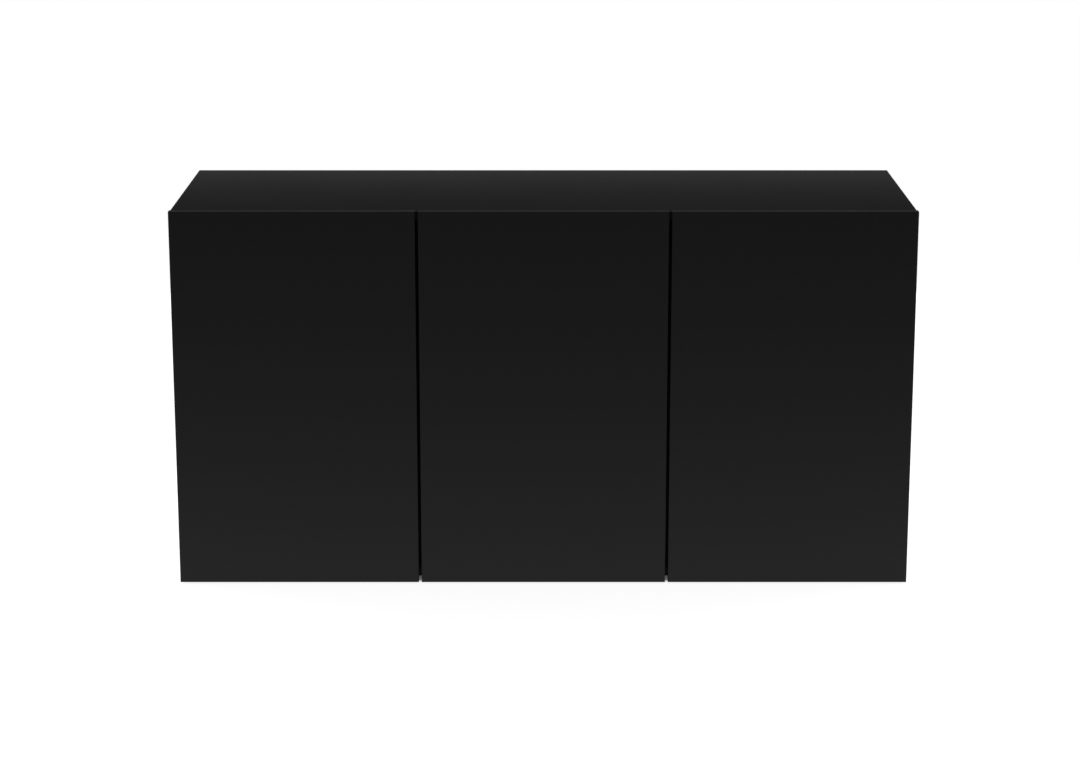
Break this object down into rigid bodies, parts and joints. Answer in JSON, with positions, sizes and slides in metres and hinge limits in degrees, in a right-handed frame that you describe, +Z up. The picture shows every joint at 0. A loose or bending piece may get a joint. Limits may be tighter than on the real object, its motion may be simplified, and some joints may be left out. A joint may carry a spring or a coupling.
{
  "type": "aquarium stand cabinet",
  "caption": "Low matte black board cabinet with flush push-to-open doors and a flat top that carries an aquarium; bays behind the doors hold filter and gear.",
  "frame": {"origin": "middle of the footprint on the floor", "axes": "+X to the right seen from the front, +Y from the doors to the back, +Z up"},
  "size_m": [1.51, 0.51, 0.786],
  "materials": {
    "black_board": "matte black melamine on chipboard",
    "black_sheet": "matte black coated fibreboard",
    "steel": "satin nickel plated steel",
    "zinc": "die cast zinc",
    "black_plastic": "moulded black plastic",
    "rubber": "soft black rubber",
    "beech": "raw beech"
  },
  "bodies": {
    "carcass": {"top_panel": "black_board", "bottom_panel": "black_board", "left_side_panel": "black_board", "right_side_panel": "black_board", "left_partition": "black_board", "right_partition": "black_board", "left_back_panel": "black_sheet", "centre_back_panel": "black_sheet", "right_back_panel": "black_sheet", "left_shelf": "black_board", "right_shelf": "black_board", "shelf_pins": "steel", "cam_locks": "zinc", "cam_bolts": "steel", "wood_dowels": "beech", "glide_feet": "black_plastic", "foot_screws": "steel", "plate_screws": "steel", "arm_screws": "steel", "latch_screws": "steel", "left_hinge_arms": "steel", "left_mounting_plates": "steel", "left_latch_housing": "black_plastic", "left_latch_spring": "steel", "centre_hinge_arms": "steel", "centre_mounting_plates": "steel", "centre_latch_housing": "black_plastic", "centre_latch_spring": "steel", "right_hinge_arms": "steel", "right_mounting_plates": "steel", "right_latch_housing": "black_plastic", "right_latch_spring": "steel"},
    "left_door_leaf": {"left_door": "black_board", "left_hinge_cups": "steel", "left_hinge_pins": "zinc", "left_cup_screws": "steel", "left_strike_plate": "steel", "left_strike_screw": "steel"},
    "centre_door_leaf": {"centre_door": "black_board", "centre_hinge_cups": "steel", "centre_hinge_pins": "zinc", "centre_cup_screws": "steel", "centre_strike_plate": "steel", "centre_strike_screw": "steel"},
    "right_door_leaf": {"right_door": "black_board", "right_hinge_cups": "steel", "right_hinge_pins": "zinc", "right_cup_screws": "steel", "right_strike_plate": "steel", "right_strike_screw": "steel"},
    "left_plunger": {"left_latch_plunger": "black_plastic", "left_latch_tip": "rubber"},
    "centre_plunger": {"centre_latch_plunger": "black_plastic", "centre_latch_tip": "rubber"},
    "right_plunger": {"right_latch_plunger": "black_plastic", "right_latch_tip": "rubber"}
  },
  "joints": [
    {"name": "left_door_swing", "type": "hinge", "parent": "carcass", "child": "left_door_leaf", "pos_m": [-0.7468, -0.245, 0.3945], "axis": [0, 0, -1], "range_deg": [0, 95]},
    {"name": "centre_door_swing", "type": "hinge", "parent": "carcass", "child": "centre_door_leaf", "pos_m": [-0.2448, -0.245, 0.3945], "axis": [0, 0, -1], "range_deg": [0, 95]},
    {"name": "right_door_swing", "type": "hinge", "parent": "carcass", "child": "right_door_leaf", "pos_m": [0.7468, -0.245, 0.3945], "axis": [0, 0, 1], "range_deg": [0, 95]},
    {"name": "left_plunger_slide", "type": "slide", "parent": "carcass", "child": "left_plunger", "axis": [0, -1, 0], "range_m": [0, 0.02], "deforming": ["left_latch_spring"]},
    {"name": "centre_plunger_slide", "type": "slide", "parent": "carcass", "child": "centre_plunger", "axis": [0, -1, 0], "range_m": [0, 0.02], "deforming": ["centre_latch_spring"]},
    {"name": "right_plunger_slide", "type": "slide", "parent": "carcass", "child": "right_plunger", "axis": [0, -1, 0], "range_m": [0, 0.02], "deforming": ["right_latch_spring"]}
  ],
  "couplings": [
    {"joint": "left_plunger_slide", "follows": "left_door_swing", "m_per_rad": 0.012},
    {"joint": "centre_plunger_slide", "follows": "centre_door_swing", "m_per_rad": 0.012},
    {"joint": "right_plunger_slide", "follows": "right_door_swing", "m_per_rad": 0.012}
  ]
}
